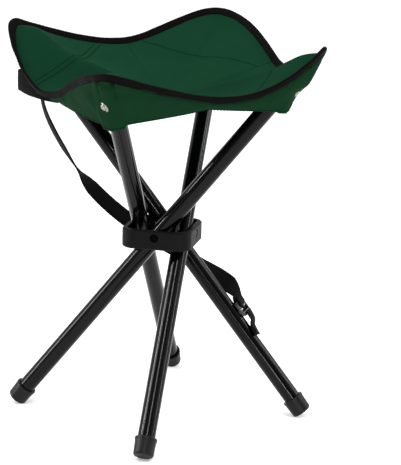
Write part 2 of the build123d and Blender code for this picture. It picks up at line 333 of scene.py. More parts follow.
def make_piece(name, verts, faces, corners, material):
    mesh = bpy.data.meshes.new(name)
    mesh.from_pydata([tuple(v) for v in verts], [], faces)
    layer = mesh.uv_layers.new(name="UVMap")
    flat = np.array([corner for face in corners for corner in face], float)
    layer.data.foreach_set("uv", flat[:, :2].ravel())
    mesh.materials.append(material)
    mesh.polygons.foreach_set("use_smooth", [True] * len(mesh.polygons))
    mesh.validate()
    mesh.update()
    return add_object(name, mesh)


def thicken(piece, thickness):
    solid = piece.modifiers.new("thickness", "SOLIDIFY")
    solid.thickness = thickness
    solid.offset = 0.0
    return piece


# ---- carry strap: webbing on the route of its CAD solid ----
STRAP_WIDTH = 20 * MM
WEBBING_THICK = 1.5 * MM
STRAP_ROUTE = [
    (-0.1275, 0.0290, 0.3090), (-0.1305, 0.0355, 0.2930), (-0.1280, 0.0400, 0.2750), (-0.1200, 0.0425, 0.2565),
    (-0.1090, 0.0435, 0.2380), (-0.0945, 0.0440, 0.2170), (-0.0765, 0.0445, 0.1970), (-0.0540, 0.0455, 0.1785),
    (-0.0285, 0.0465, 0.1620), (-0.0010, 0.0465, 0.1475), (0.0250, 0.0455, 0.1365), (0.0480, 0.0425, 0.1255),
    (0.0650, 0.0375, 0.1120), (0.0750, 0.0315, 0.0975),
]


def spline_points(route):
    """The route as one smooth NURBS line, read back as points."""
    curve = bpy.data.curves.new("route", "CURVE")
    curve.dimensions = "3D"
    curve.resolution_u = 12
    line = curve.splines.new("NURBS")
    line.points.add(len(route) - 1)
    for point, at in zip(line.points, route):
        point.co = (*at, 1)
    line.order_u = 3
    line.use_endpoint_u = True
    carrier = add_object("route", curve)
    bpy.context.view_layer.update()
    mesh = bpy.data.meshes.new_from_object(carrier)
    points = np.array([v.co for v in mesh.vertices], float)
    bpy.data.objects.remove(carrier)
    bpy.data.meshes.remove(mesh)
    bpy.data.curves.remove(curve)
    return points


def lengths_along(points):
    return np.concatenate([[0], np.cumsum(np.linalg.norm(np.diff(points, axis=0), axis=1))])


RIBBON_CROWN = 0.25 * MM      # how much thicker a tape is along its middle
RIBBON_EDGE = ((0.985, 0.7), (1.0, 0.0), (0.985, -0.7))      # its rounded edge, in half widths and thicknesses


def ribbon(name, line, across, width, thickness, material):
    """A flat tape with rounded edges along a line; across is the direction of its width."""
    tangents = units(np.gradient(line, axis=0))
    across = units(across - (across * tangents).sum(1)[:, None] * tangents)
    face = np.cross(tangents, across)
    half = thickness / 2
    upper = [(x, half + RIBBON_CROWN * (1 - x * x)) for x in np.linspace(-0.94, 0.94, 13)]
    upper += [(x, half * y) for x, y in RIBBON_EDGE]
    outline = np.array(upper + [(-x, -y) for x, y in upper])
    points = (line[:, None] + across[:, None] * (outline[None, :, :1] * width / 2)
              + face[:, None] * outline[None, :, 1:])
    run = lengths_along(line)
    round_it = np.append(outline[:, 0], outline[0, 0]) * width / 2
    uvs = np.array([[(r, x) for x in round_it] for r in run])
    piece = grid_piece(name, points, uvs, material, closed=True)
    close_ends(piece, len(outline))
    return piece


def close_ends(piece, columns):
    """Caps both open ends of a tube-like mesh, whose rows have that many points."""
    mesh = piece.data
    work = bmesh.new()
    work.from_mesh(mesh)
    work.verts.ensure_lookup_table()
    count = len(work.verts)
    work.faces.new([work.verts[i] for i in range(columns)])
    work.faces.new([work.verts[count - 1 - i] for i in range(columns)])
    bmesh.ops.recalc_face_normals(work, faces=work.faces)
    work.to_mesh(mesh)
    work.free()


strap_line = spline_points(STRAP_ROUTE)
strap_run = lengths_along(strap_line)
strap_share = strap_run / strap_run[-1]
# Turn of the webbing about its own line, in degrees from facing the stool's back, at shares of its length.
TWIST_AT = (0.0, 0.08, 0.16, 0.24, 0.30, 0.33, 0.36, 0.39, 0.44, 0.52,
            0.60, 0.68, 0.80, 0.84, 0.88, 0.905, 0.925, 0.95, 0.975, 1.0)
TWIST = (64, 64, 60, 60, 68, 76, 97, 110, 114, 116, 118, 110, 104, 109, 121, 131, 114, 94, 80, 76)
twist = np.radians(np.interp(strap_share, TWIST_AT, TWIST))
strap_tangent = units(np.gradient(strap_line, axis=0))
upright = units(np.cross(strap_tangent, np.array([0, 1.0, 0])))
sideways = np.cross(strap_tangent, upright)
strap_across = upright * np.cos(twist)[:, None] + sideways * np.sin(twist)[:, None]
carry_strap = ribbon("carry_strap_webbing", strap_line, strap_across, STRAP_WIDTH, WEBBING_THICK, WEBBING)
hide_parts("carry_strap")
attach(carry_strap, "back_leg")

# ---- seat: the bound edge ----
# The edge's height in mm at each corner: the cloth stands up at the corners of the back and right legs.
CORNER_TOP = {"front": 356, "right": 368, "back": 360, "left": 339}
# Where each side sags lowest, as a share of its length counter-clockwise from the corner it is named for, that
# height in mm, and how sharply it bends up to the corner before it and the one after it.
SIDE_SAG = {
    "front": (0.375, 327, 1.5, 0.9),
    "right": (0.55, 341, 1.15, 1.15),
    "back": (0.375, 304, 1.0, 0.8),
    "left": (0.575, 315, 1.15, 1.3),
}
# From the hub's axis to the middle of each side, in mm.
SIDE_MIDDLE_R = {"front": 112, "right": 100, "back": 100, "left": 97}
# Plan of the edge beside a corner, in mm: radius of the tip and of its shoulder, the shoulder's width, and how
# far out the side stays straight.
CORNER_PLAN = {
    ("front", "ccw"): (149, 149, 14, 26),
    ("right", "cw"): (134, 134, 30, 26),
    ("right", "ccw"): (134, 134, 30, 26),
    ("back", "cw"): (152, 151, 21, 26),
    ("back", "ccw"): (152, 160, 24, 48),
    ("left", "cw"): (137, 137, 16, 26),
    ("left", "ccw"): (137, 137, 16, 26),
    ("front", "cw"): (149, 150, 10, 26),
}
# The pocket's hem in mm: its height at the leg and at the middle of each side, its distance outwards from the
# leg's axis, and how far inside the edge it lies at the middle of a side.
HEM_AT_LEG = {"front": 300, "right": 300, "back": 300, "left": 291}
HEM_AT_MIDDLE = {"front": 322, "right": 329, "back": 298, "left": 307}
POCKET_SLACK = {"front": 19.0, "right": 14.0, "back": 14.0, "left": 13.0}
HEM_TUCK = 5.0
# The bound edge's tape in mm: half its width, half its thickness, the extra half width where it turns a corner,
# and how far below its middle the cloth goes into it.
BAND_HALF, BAND_THICK = 3.9, 1.5
TIP_FOLD = {"front": 0.6, "right": 0.3, "back": 1.9, "left": 0.0}
EDGE_SEAM = 2.4
BAND_OUT, BAND_UP = 0.5, 0.87      # the direction it stands in


def turn_sign(turn):
    return 1 if turn == "ccw" else -1


def other_turn(turn):
    return "cw" if turn == "ccw" else "ccw"


def side_of(leg, turn):
    """The side of the seat that a half belongs to."""
    return leg if turn == "ccw" else LEGS[(LEGS.index(leg) - 1) % 4]


def corner_axes(leg, turn):
    bearing = math.radians(CORNER_BEARING + 90 * LEGS.index(leg))
    out = np.array([math.cos(bearing), math.sin(bearing), 0])
    return out, np.cross(UP, out) * turn_sign(turn)


def bezier(points, t):
    t = np.asarray(t, float)[..., None]
    a, b, c, d = (np.asarray(p, float) for p in points)
    return (1 - t) ** 3 * a + 3 * (1 - t) ** 2 * t * b + 3 * (1 - t) * t * t * c + t ** 3 * d


def edge_height(side, share):
    """Height of the bound edge in mm: an S-curve down from one corner to the sag, and one up to the next."""
    low_at, low, fall, climb = SIDE_SAG[side]
    before = smooth(np.clip(1 - share / low_at, 0, 1) ** fall)
    after = smooth(np.clip((share - low_at) / (1 - low_at), 0, 1) ** climb)
    next_corner = LEGS[(LEGS.index(side) + 1) % 4]
    return low + (CORNER_TOP[side] - low) * before + (CORNER_TOP[next_corner] - low) * after


def edge_line(leg, turn, t):
    """Middle of the bound edge on one half side, t from the corner's tip to the side's middle."""
    tip, shoulder, width, pull = CORNER_PLAN[leg, turn]
    side = side_of(leg, turn)
    middle = SIDE_MIDDLE_R[side] * math.sqrt(0.5)
    pull *= math.sqrt(0.5)
    plan = bezier([(tip, 0), (shoulder, width), (middle + pull, middle - pull), (middle, middle)], t)
    out, across = corner_axes(leg, turn)
    share = np.asarray(t, float) / 2
    heights = edge_height(side, share if turn == "ccw" else 1 - share)
    return (plan[..., :1] * out + plan[..., 1:] * across + heights[..., None] * UP) * MM


def edge_frame(leg, turn, t):
    """Edge points, unit run along the edge, level outward direction, and the direction the band stands in."""
    step = 1e-3
    line = edge_line(leg, turn, t)
    run = units(edge_line(leg, turn, np.minimum(t + step, 1)) - edge_line(leg, turn, np.maximum(t - step, 0)))
    outward = units(np.cross(run, UP) * turn_sign(turn))
    stand = outward * BAND_OUT + UP * BAND_UP
    return line, run, outward, units(stand - (stand * run).sum(1)[:, None] * run)


# How fast the cloth sinks past a tube's end, and where that starts along the leg, in mm.
FADE_DROP, FADE_LENGTH = 13, 5.5
TOP_FADE, POCKET_FADE = 200, 201
# The ridge in the seat cloth, in mm: height over the leg's axis, half width, softness; where it is at its full
# height and how fast it sinks before that; the stretch of the leg it may show on, and how far to each side.
RIDGE_CLEAR, RIDGE_HALF, RIDGE_SOFT = 10.0, 17.0, 9
RIDGE_FULL, RIDGE_SINK = 165, 0.25
RIDGE_FROM, RIDGE_TO, RIDGE_REACH, RIDGE_FLANK = 100, 235, 40, 12


def over_leg_ends(points):
    """Lifts the cloth where it would cut into a leg's end, in a soft ridge over the tube."""
    points = points.copy()
    for leg in LEGS:
        a, x, y = beside_leg(points, leg)
        past = np.maximum(0, a - TOP_FADE) / FADE_LENGTH
        height = (RIDGE_CLEAR * (1 - (y / RIDGE_HALF) ** 2) - FADE_DROP * past**2
                  - np.maximum(0, RIDGE_FULL - a) * RIDGE_SINK)
        close = (a > RIDGE_FROM) & (a < RIDGE_TO) & (np.abs(y) < RIDGE_REACH)
        lift = np.where(close, soft_max(-x, height, RIDGE_SOFT) + x, 0)
        lift = lift * smooth((RIDGE_REACH - np.abs(y)) / RIDGE_FLANK)
        points -= leg_frame(leg)[2] * (lift * MM)[..., None]
    return points


POCKET_CLEAR, PLEAT_CLEAR, POCKET_REACH = 9.6, 8.5, 14.4      # cloth from the leg's axis, unpleated and pleated


def round_leg(points, leg, clear):
    """Keeps the pocket's cloth on the outer side of the leg."""
    a, x, y = beside_leg(points, leg)
    least = (clear * (1 - (y / (1.5 * clear)) ** 2)
             - FADE_DROP * (np.maximum(0, a - POCKET_FADE) / FADE_LENGTH) ** 2)
    moved = soft_max(x, least, 2) - x
    return points + leg_frame(leg)[2] * (np.where(np.abs(y) < POCKET_REACH, moved, 0) * MM)[..., None]


def cloth_ripple(points, amount, size):
    """Small even unevenness of the cloth, the same wherever two pieces meet."""
    flat = points.reshape(-1, 3)
    values = np.array([noise.noise(Vector(p) / size)
                       + 0.5 * noise.noise(Vector(p) / (size * 0.45) + Vector((7, 3, 5))) for p in flat])
    return values.reshape(points.shape[:-1]) * amount


TOP_ROWS, TOP_COLUMNS = 72, 54
CLOTH_THICK, POCKET_THICK = 1.2 * MM, 1.0 * MM
SAG = 4.5                     # of each half between its corner's line and its side's middle, in mm
MIDDLE_SOFT = 0.12            # how far out the seat's middle is rounded off, as a share
CREASE_WIDE, CREASE_POWER = 1.35, 1.5      # how soon a corner's line stops lifting the cloth beside it
TOP_RIPPLE = 0.9 * MM, 0.045  # depth and size in metres
RIM_GIVE = 0.25               # share of the lift over a leg's end that is left at the rim
# How the cloth climbs on each corner's line: the power of the climb, and its extra rise over the leg's end.
CORNER_CLIMB = {"front": (1.15, 0.12), "right": (1.5, 0.0), "back": (1.0, 0.18), "left": (1.1, 0.18)}
LEG_END_SHARE, LEG_END_SPREAD = 0.88, 0.13


def corner_rise(leg, share):
    """How far the corner's line has climbed, from 0 to 1, at shares of the way out to the tip."""
    power, extra = CORNER_CLIMB[leg]
    over_end = np.exp(-(((share - LEG_END_SHARE) / LEG_END_SPREAD) ** 2))
    at_tip = math.exp(-(((1 - LEG_END_SHARE) / LEG_END_SPREAD) ** 2))
    return share**power + extra * (over_end - at_tip * share)


def top_surface(leg, turn, s, t):
    """The seat cloth: s from the seat's middle to the edge, t from the corner's line to the side's middle."""
    line, _, _, stand = edge_frame(leg, turn, t.ravel())
    rim = (line - stand * EDGE_SEAM * MM).reshape(*t.shape, 3)
    level = ((np.sqrt(s * s + MIDDLE_SOFT**2) - MIDDLE_SOFT)
             / (math.sqrt(1 + MIDDLE_SOFT**2) - MIDDLE_SOFT))
    profile = level + (corner_rise(leg, s) - level) * (1 - smooth(t * CREASE_WIDE)) ** CREASE_POWER
    points = SEAT_MIDDLE + (rim - SEAT_MIDDLE) * s[..., None]
    points[..., 2] = SEAT_MIDDLE[2] + (rim[..., 2] - SEAT_MIDDLE[2]) * profile
    points[..., 2] -= SAG * MM * np.sin(math.pi * s) ** 2 * (4 * t * (1 - t)) * s
    inner = smooth((1 - s) / 0.1)
    points[..., 2] += cloth_ripple(points, *TOP_RIPPLE) * inner * smooth(s / 0.2)
    pushed = over_leg_ends(points)
    return points + (pushed - points) * (RIM_GIVE + (1 - RIM_GIVE) * inner)[..., None]


def seat_top(leg, turn):
    s = np.linspace(0, 1, TOP_ROWS)[1:] ** 0.92
    t = np.linspace(0, 1, TOP_COLUMNS) ** 1.25
    ss, tt = np.meshgrid(s, t, indexing="ij")
    points = top_surface(leg, turn, ss, tt)
    bearing = math.radians(CORNER_BEARING + 45)
    turned = np.array([[math.cos(bearing), math.sin(bearing)], [-math.sin(bearing), math.cos(bearing)]])
    uvs = points[..., :2] @ turned.T
    verts = np.vstack([[SEAT_MIDDLE], points.reshape(-1, 3)])
    flat_uv = np.vstack([[[0, 0]], uvs.reshape(-1, 2)])
    n = TOP_COLUMNS
    faces = [[0, 1 + j, 2 + j] for j in range(n - 1)]
    faces += [[a, a + n, a + n + 1, a + 1] for i in range(len(s) - 1) for a in range(1 + i * n, (i + 1) * n)]
    if turn == "cw":
        faces = [f[::-1] for f in faces]
    corners = [[flat_uv[v] for v in f] for f in faces]
    return thicken(make_piece(f"seat_{leg}_{turn}", verts, faces, corners, TOP_CLOTH), CLOTH_THICK)


RIVET_AT = {"front": 188, "right": 183, "back": 183, "left": 179}      # along the leg from its pivot, in mm
RIVET_TURN = {"front": 8, "right": 25, "back": 25, "left": 31}         # degrees about the leg from its outer side


def rivet_line(leg):
    """Point on the leg's axis and direction out of it where the corner rivet sits."""
    _, _, outer, inward = leg_frame(leg)
    turn = math.radians(RIVET_TURN[leg])
    return on_leg(leg, RIVET_AT[leg]), outer * math.cos(turn) - inward * math.sin(turn)


def hem_centre(leg):
    """Where the leg's axis passes the height of its pocket's hem."""
    return on_leg(leg, (HEM_AT_LEG[leg] * MM - PIVOT_HEIGHT) / math.cos(LEAN) / MM)


CUFF = {"front": 1.2, "right": 1.2, "back": 1.2, "left": 3.2}      # how far the hem dips round the leg, in mm
CUFF_REACH, CUFF_FLANK = 12, 3


def hem_line(leg, turn, t):
    """The pocket's hem, t from the leg to the middle of the side."""
    out, across = corner_axes(leg, turn)
    side = side_of(leg, turn)
    hem_leg, hem_middle = HEM_AT_LEG[leg], HEM_AT_MIDDLE[side]
    centre = hem_centre(leg)
    centre[2] = 0
    start = centre + out * POCKET_SLACK[leg] * MM
    middle = unit(out + across) * (SIDE_MIDDLE_R[side] - HEM_TUCK) * MM
    hem = bezier([start, start + across * 12 * MM, middle + unit(out - across) * 28 * MM, middle], t)
    from_leg = np.abs((hem - centre) @ across) / MM
    cuff = CUFF[leg] * smooth((CUFF_REACH - from_leg) / CUFF_FLANK)
    return hem + UP * ((hem_leg + (hem_middle - hem_leg) * t**1.15 - cuff) * MM)[..., None]


def strip_area(first, second):
    """Area of the flat strip between two lines with as many points each."""
    one = np.cross(first[1:] - first[:-1], second[:-1] - first[:-1])
    other = np.cross(second[1:] - second[:-1], first[1:] - second[1:])
    return float((np.linalg.norm(one, axis=1) + np.linalg.norm(other, axis=1)).sum() / 2)


def cut_sizes(leg, turn):
    """Flat sizes and areas of a half's two cloths, each the strip between its seam lines.

    The size is the greatest depth by the edge's length, or for the pocket by the length halfway down.
    """
    t = np.linspace(0, 1, 41)
    edge, hem = edge_line(leg, turn, t), hem_line(leg, turn, t)
    edge_long = float(lengths_along(edge)[-1])
    seat_deep = float(np.linalg.norm(edge - SEAT_MIDDLE, axis=1).max())
    pocket_deep = float(np.linalg.norm(edge - hem, axis=1).max())
    seat_area = strip_area(edge, np.tile(SEAT_MIDDLE, (len(t), 1)))
    pocket_long = float(lengths_along((edge + hem) / 2)[-1])
    return ((seat_deep, edge_long), seat_area), ((pocket_deep, pocket_long), strip_area(edge, hem))


BELLY, FRONT_BELLY = (1.5, 2.0), 3.0      # the pocket's bulge at the leg, more at the middle, more at the front leg
POCKET_RIPPLE = 1.7 * MM, 0.024


def pocket_surface(leg, turn, t, v):
    """The pocket's outer cloth: v from the bound edge down to the hem."""
    line, _, outward, stand = edge_frame(leg, turn, t.ravel())
    top = (line - stand * (EDGE_SEAM - 0.4) * MM + outward * 0.9 * MM).reshape(*t.shape, 3)
    points = top + (hem_line(leg, turn, t) - top) * v[..., None]
    fuller = FRONT_BELLY * (1 - t) ** 3 if leg == "front" else 0
    belly = np.sin(math.pi * v) * (BELLY[0] + BELLY[1] * t + fuller)
    away = points - (hem_centre(leg) * np.array([1, 1, 0]))
    away[..., 2] = 0
    away = units(away)
    points += away * (belly * MM)[..., None]
    fade = np.sin(math.pi * np.clip(v * 1.1, 0, 1))
    return points + away * (cloth_ripple(points, *POCKET_RIPPLE) * fade)[..., None]


# Two pleats, in mm: how far from the corner's line each is, how far it slants, its width and its depth.
PLEATS_AT, PLEAT_SLANT, PLEAT_WIDE, PLEAT_DEEP = (-9.0, 4.5), 2.0, 1.5, 4.6


def pleats(points, leg, t, v):
    """Two pressed folds under the band at the left leg's corner, where the cloth is gathered over the leg."""
    if leg != "left":
        return points
    out, across = corner_axes(leg, "ccw")
    side = (points @ across) / MM
    depth = np.zeros_like(side)
    for at in PLEATS_AT:
        depth += np.exp(-((side - at - PLEAT_SLANT * v) / PLEAT_WIDE) ** 2)
    fade = smooth((0.5 - v) / 0.5) * smooth((0.5 - t) / 0.2)
    return points - out * (depth * fade * PLEAT_DEEP * MM)[..., None]


RIVET_SEAT, RIVET_DRAW = 10.3, 9.0      # cloth under the rivet from the leg's axis, and how wide it is drawn in


def nearest(points, foot, out):
    """How near the points come to a line, and how far along the line that is."""
    apart = np.linalg.norm(np.cross(points - foot, out), axis=-1)
    return apart.min(), ((points - foot) @ out).ravel()[apart.argmin()]


def seat_pocket(leg, turn):
    rows, columns = 46, 84
    v = np.linspace(0, 1, rows)
    t = np.linspace(0, 1, columns) ** 1.35
    vv, tt = np.meshgrid(v, t, indexing="ij")
    points = pocket_surface(leg, turn, tt, vv)
    # The rivet draws the cloth in against the leg. It may be in the other half, and both have to agree.
    foot, out = rivet_line(leg)
    _, height = min(nearest(points, foot, out),
                    nearest(pocket_surface(leg, other_turn(turn), tt, vv), foot, out),
                    key=lambda found: found[0])
    reach = np.linalg.norm(np.cross(points - foot, out), axis=-1) / MM
    points += out * ((RIVET_SEAT * MM - height) * np.exp(-((reach / RIVET_DRAW) ** 2)))[..., None]
    points = round_leg(points, leg, POCKET_CLEAR)
    points = round_leg(pleats(points, leg, tt, vv), leg, PLEAT_CLEAR)
    along, drop = lengths_along(points[rows // 2]), lengths_along(points[:, columns // 3])
    uvs = np.array([[(a, d) for a in along] for d in drop])
    piece = grid_piece(f"pocket_{leg}_{turn}", points, uvs, POCKET_CLOTH_SHADED, flip=(turn == "cw"))
    return thicken(piece, POCKET_THICK), points


# Rings along a stitch: place as a share of its half length, lift and width as shares of the thread.
STITCH_RINGS = ((-1, -0.35, 0.35), (-0.6, 0.25, 0.9), (0, 0.45, 1.0), (0.6, 0.25, 0.9), (1, -0.35, 0.35))
STITCH_SIDES = 6


def hem_stitches(name, line, facing, material, pitch=3.0, length=2.1, thick=0.42):
    """A row of thread stitches along a line, lying on the cloth; pitch, length and thread in mm."""
    run = lengths_along(line)
    count = max(2, int(run[-1] / (pitch * MM)))
    sides = STITCH_SIDES
    verts, faces = [], []
    for n in range(count):
        middle = (n + 0.5) / count * run[-1]
        centres = [np.array([np.interp(middle + share * length * MM / 2, run, line[:, i]) for i in range(3)])
                   for share, _, _ in STITCH_RINGS]
        normal = unit([np.interp(middle, run, facing[:, i]) for i in range(3)])
        side = unit(np.cross(unit(centres[-1] - centres[0]), normal))
        base = len(verts)
        for centre, (_, lift, width) in zip(centres, STITCH_RINGS):
            for k in range(sides):
                angle = math.pi * 2 * k / sides
                verts.append(centre + (side * math.cos(angle) * width
                                       + normal * (math.sin(angle) * width + lift)) * thick * MM)
        for ring in range(len(centres) - 1):
            for k in range(sides):
                a, b = base + ring * sides + k, base + ring * sides + (k + 1) % sides
                faces.append([a, b, b + sides, a + sides])
        faces.append([base + i for i in reversed(range(sides))])
        faces.append([base + sides * (len(centres) - 1) + i for i in range(sides)])
    corners = [[(0.0, 0.0)] * len(f) for f in faces]
    return make_piece(name, verts, faces, corners, material)


def edge_band(leg, turn):
    """Tape folded over the edge: a flat loop in section, slightly uneven, standing along the seam."""
    t = np.linspace(0, 1, 120) ** 1.2
    line, run, _, stand = edge_frame(leg, turn, t)
    face = np.cross(run, stand) * turn_sign(turn)
    wave = np.array([noise.noise(Vector(p) / 0.012) for p in line])
    swell = np.array([noise.noise(Vector(p) / 0.02 + Vector((3, 9, 1))) for p in line])
    fold = TIP_FOLD[leg] * np.exp(-((t / 0.16) ** 2))
    half = (BAND_HALF + 0.45 * swell + fold) * MM
    angles = np.linspace(0, 2 * math.pi, 20, endpoint=False)
    outline = np.array([(rounded(math.cos(a), 0.45), rounded(math.sin(a), 0.7)) for a in angles])
    thick = (BAND_THICK + 0.25 * swell + 0.5 * fold) * MM
    points = (line[:, None] + stand[:, None] * (outline[None, :, :1] * half[:, None, None])
              + face[:, None] * (outline[None, :, 1:] * thick[:, None, None]
                                 + (0.6 * MM * wave)[:, None, None]))
    length = lengths_along(line)
    girth = np.append(outline[:, 0], outline[0, 0]) * BAND_HALF * MM
    uvs = np.array([[(r, g) for g in girth] for r in length])
    piece = grid_piece(f"binding_{leg}_{turn}", points, uvs, BINDING, closed=True)
    close_ends(piece, len(outline))
    low = line - stand * (BAND_HALF - 1.2) * MM
    return piece, [hem_stitches(f"binding_thread_{side}_{leg}_{turn}",
                                low + face * sign * (BAND_THICK + 0.1) * MM, face * sign, DARK_THREAD)
                   for side, sign in (("in", -1), ("out", 1))]


def seam_on_top(leg, turn, ends, shift):
    """Points and normals of half a seam across the corner; ends is its row of CORNER_SEAM, shift moves it in mm."""
    out, _ = corner_axes(leg, turn)
    here, there = (edge_line(leg, side, np.array([ends[side][0]]))[0] * np.array([1, 1, 0]) * ends[side][1]
                   for side in (turn, other_turn(turn)))
    direction = here - there
    back = unit(np.cross(direction, UP))
    back = back if back @ out < 0 else -back
    start = there + back * shift * MM
    last = ends[turn][0]
    t = np.linspace(0, min(1.0, last * 1.15), 120)
    plan = edge_line(leg, turn, t)
    s = ((start[0] * direction[1] - start[1] * direction[0])
         / (plan[:, 0] * direction[1] - plan[:, 1] * direction[0]))
    s = s * (1 - ends["bow"] * np.maximum(0, 1 - (t / last) ** 2))
    keep = (s < 0.965) & (s > 0)
    t, s = t[keep], s[keep]
    points = top_surface(leg, turn, s, t)
    step = 0.004
    along_s = top_surface(leg, turn, s + step, t) - top_surface(leg, turn, s - step, t)
    along_t = top_surface(leg, turn, s, t + step) - top_surface(leg, turn, s, np.maximum(t - step, 0))
    normal = units(np.cross(along_s, along_t) * turn_sign(turn))
    return points + normal * 0.6 * MM, normal


# A corner seam's ends, as shares of the way from tip to side's middle and of the way out; bow draws it inwards.
CORNER_SEAM = {
    "front": {"ccw": (0.55, 1), "cw": (0.75, 1), "bow": 0.0},
    "right": {"ccw": (0.86, 1), "cw": (1.0, 0.86), "bow": -0.06},
    "back": {"ccw": (0.57, 1), "cw": (0.73, 1), "bow": 0.15},
    "left": {"ccw": (0.72, 1), "cw": (0.72, 1), "bow": 0.05},
}
SEAM_SHIFTS = {"front": (0.0,), "right": (0.0,), "back": (0.0, 5.5), "left": (0.0, 5.5)}


for leg in LEGS:
    for turn in ("ccw", "cw"):
        top = seat_top(leg, turn)
        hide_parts(f"{leg}_panel_{turn}")
        pocket, pocket_points = seat_pocket(leg, turn)
        if turn == "ccw":
            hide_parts(f"{leg}_pocket")
        band, band_stitches = edge_band(leg, turn)
        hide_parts(f"{leg}_binding_{turn}")
        above = pocket_points[-3] - pocket_points[-1]
        hem = pocket_points[-1] + above * 0.9
        facing = units(np.cross(np.gradient(hem, axis=0), above) * turn_sign(turn))
        if (facing[0] @ corner_axes(leg, turn)[0]) < 0:
            facing = -facing
        hem_thread = hem_stitches(f"hem_thread_{leg}_{turn}", hem + facing * 0.6 * MM, facing, THREAD)
        seams = []
        for number, shift in enumerate(SEAM_SHIFTS[leg]):
            line, normal = seam_on_top(leg, turn, CORNER_SEAM[leg], shift)
            seam = hem_stitches(f"seam_thread_{leg}_{turn}_{number}", line, normal, THREAD,
                                pitch=2.6, length=2.2, thick=0.36)
            seams.append(seam)
        for piece in [top, pocket, band, hem_thread, *band_stitches, *seams]:
            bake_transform(piece)
        (seat_flat, seat_area), (pocket_flat, pocket_area) = cut_sizes(leg, turn)


# ---- corner rivets ----
def revolved_piece(name, outline, at, axis, material, steps=40):
    """A turned part from (radius, height) in mm, standing at a point along an axis."""
    axis = unit(axis)
    side = unit(np.cross(axis, UP if abs(axis[2]) < 0.9 else np.array([1.0, 0, 0])))
    third = np.cross(axis, side)
    points, uvs = [], []
    for r, h in outline:
        ring, uv = [], []
        for i in range(steps):
            angle = 2 * math.pi * i / steps
            ring.append(at + (side * math.cos(angle) * r + third * math.sin(angle) * r + axis * h) * MM)
            uv.append((angle, h * MM))
        uv.append((2 * math.pi, h * MM))
        points.append(ring)
        uvs.append(uv)
    return grid_piece(name, points, uvs, material, closed=True)


# Outlines as radius and height in mm: a domed head on a washer with its shank, a press stud, a small dome.
CORNER_RIVET = [(0.01, 13.0), (1.0, 12.95), (2.0, 12.7), (2.8, 12.2), (3.2, 11.7), (3.3, 11.35), (3.6, 11.3),
                (4.3, 11.45), (4.9, 11.3), (5.1, 11.0), (5.1, 10.7), (4.8, 10.55), (2.2, 10.5), (2.0, 6.5),
                (0.01, 6.4)]
PRESS_STUD = [(0.01, 2.0), (1.2, 2.1), (1.6, 2.6), (2.6, 2.7), (3.2, 2.4), (4.0, 1.5), (4.2, 0.9), (0.01, 0.5)]
ANCHOR_RIVET = [(0.01, 2.4), (1.4, 2.3), (2.6, 1.7), (3.2, 0.8), (3.3, 0.1), (0.01, 0)]

for leg in LEGS:
    foot, out = rivet_line(leg)
    rivet = revolved_piece(f"corner_rivet_{leg}", CORNER_RIVET, foot, out, NICKEL)
    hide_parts(f"{leg}_corner_rivet")
    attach(rivet, f"{leg}_leg")

# ---- closure strap: webbing under the bound edge by the back leg's corner ----
CLOSURE_ROUTE = [
    (-0.1120, 0.0400, 0.3095), (-0.1280, 0.0340, 0.3090), (-0.1410, 0.0260, 0.3088),
    (-0.1475, 0.0160, 0.3086), (-0.1420, 0.0085, 0.3080), (-0.1290, -0.0020, 0.3062),
    (-0.1138, -0.0124, 0.3045), (-0.1000, -0.0215, 0.3015), (-0.0870, -0.0296, 0.2990),
]
CLOSURE_WIDTH = 19 * MM
CLOSURE_LEAN_AT, CLOSURE_LEAN = (0, 0.45, 0.72, 1), (0, 0, 38, 84)      # degrees its face tips, at shares of it
STUD_AT = 0.9                                                        # share of it where the stud is
closure_line = spline_points(CLOSURE_ROUTE)
closure_share = lengths_along(closure_line) / lengths_along(closure_line)[-1]
closure_lean = np.radians(np.interp(closure_share, CLOSURE_LEAN_AT, CLOSURE_LEAN))[:, None]
closure_side = units(np.cross(np.gradient(closure_line, axis=0), UP))
closure_across = UP * np.cos(closure_lean) - closure_side * np.sin(closure_lean)
closure = ribbon("closure_webbing", closure_line, closure_across, CLOSURE_WIDTH, WEBBING_THICK, GREY_WEBBING)
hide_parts("closure_strap")
stud_index = int(np.searchsorted(closure_share, STUD_AT))
stud_across = unit(closure_across[stud_index])
stud_out = unit(np.cross(closure_line[stud_index + 1] - closure_line[stud_index - 1], stud_across))
stud_out *= -np.sign(stud_out[2])
closure_stud = revolved_piece("closure_press_stud", PRESS_STUD, closure_line[stud_index], stud_out, NICKEL)
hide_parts("closure_stud")
for piece in (closure, closure_stud):
    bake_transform(piece)

# ---- carry strap's lower end: loop from the slide to the leg, and its rivet ----
strap_end = np.array(STRAP_ROUTE[-1])
_, back_axis, back_outer, back_inward = leg_frame("back")


SLIDE_UP, SLIDE_IN, SLIDE_OFF = 4, 3, 0.6      # the slide's middle from the strap's end, in mm


def on_slide(down, across, off):
    """A point on the slide in mm: down the leg, towards the hub's axis, and off the leg."""
    return strap_end + (-back_axis * (down - SLIDE_UP) + back_inward * (across + SLIDE_IN)
                        - back_outer * (off + SLIDE_OFF)) * MM


# Sections along a bar, as shares of its length, and how far each is drawn in.
BAR_ENDS = ((0, 0.35), (0.03, 0.8), (0.07, 1), (0.5, 1), (0.93, 1), (0.97, 0.8), (1, 0.35))
BAR_SIDES, BAR_WIDE = 20, 2.6


